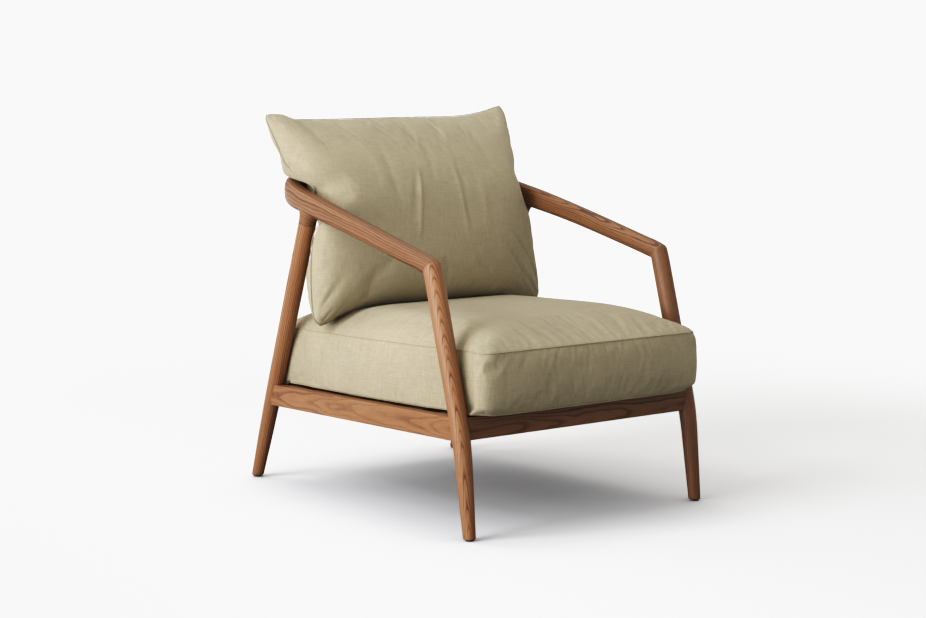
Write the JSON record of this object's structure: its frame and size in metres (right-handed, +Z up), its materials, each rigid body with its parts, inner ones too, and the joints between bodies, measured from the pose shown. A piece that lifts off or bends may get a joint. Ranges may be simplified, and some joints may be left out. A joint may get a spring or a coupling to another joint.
{
  "type": "lounge armchair",
  "caption": "Wooden lounge armchair with swept arms mitred into bent round legs, a slatted seat frame, and loose boxed seat and knife-edge back cushions.",
  "frame": {"origin": "on the floor under the middle of the chair's bounding box", "axes": "+Z up, the chair faces -Y, +X to the sitter's left as they sit"},
  "size_m": [0.7114, 0.9246, 0.8989],
  "materials": {
    "walnut_stained_ash": "walnut-stained open-grain ash, satin lacquer",
    "inner_beech": "plain sanded beech, hidden inside the frame",
    "linen": "khaki linen-cotton plain weave, matt",
    "screw_steel": "zinc-plated steel screws",
    "glide_nylon": "dark nylon glides"
  },
  "bodies": {
    "root": {"arm_left": "walnut_stained_ash", "arm_right": "walnut_stained_ash", "back_cushion": "linen", "back_dowel_left_lower": "inner_beech", "back_dowel_left_upper": "inner_beech", "back_dowel_right_lower": "inner_beech", "back_dowel_right_upper": "inner_beech", "back_rail": "walnut_stained_ash", "cleat_screw_left_1": "screw_steel", "cleat_screw_left_2": "screw_steel", "cleat_screw_left_3": "screw_steel", "cleat_screw_right_1": "screw_steel", "cleat_screw_right_2": "screw_steel", "cleat_screw_right_3": "screw_steel", "corner_block_front_left": "inner_beech", "corner_block_front_right": "inner_beech", "corner_block_rear_left": "inner_beech", "corner_block_rear_right": "inner_beech", "foot_glide_front_left": "glide_nylon", "foot_glide_front_right": "glide_nylon", "foot_glide_rear_left": "glide_nylon", "foot_glide_rear_right": "glide_nylon", "front_leg_left": "walnut_stained_ash", "front_leg_right": "walnut_stained_ash", "front_rail": "walnut_stained_ash", "mitre_tenon_left": "inner_beech", "mitre_tenon_right": "inner_beech", "rear_leg_left": "walnut_stained_ash", "rear_leg_right": "walnut_stained_ash", "rear_rail": "walnut_stained_ash", "seat_cushion": "linen", "seat_slat_1": "inner_beech", "seat_slat_2": "inner_beech", "seat_slat_3": "inner_beech", "seat_slat_4": "inner_beech", "seat_slat_5": "inner_beech", "seat_slat_6": "inner_beech", "side_rail_left": "walnut_stained_ash", "side_rail_right": "walnut_stained_ash", "slat_cleat_left": "inner_beech", "slat_cleat_right": "inner_beech", "slat_screw_1_left": "screw_steel", "slat_screw_1_right": "screw_steel", "slat_screw_2_left": "screw_steel", "slat_screw_2_right": "screw_steel", "slat_screw_3_left": "screw_steel", "slat_screw_3_right": "screw_steel", "slat_screw_4_left": "screw_steel", "slat_screw_4_right": "screw_steel", "slat_screw_5_left": "screw_steel", "slat_screw_5_right": "screw_steel", "slat_screw_6_left": "screw_steel", "slat_screw_6_right": "screw_steel"}
  },
  "joints": []
}
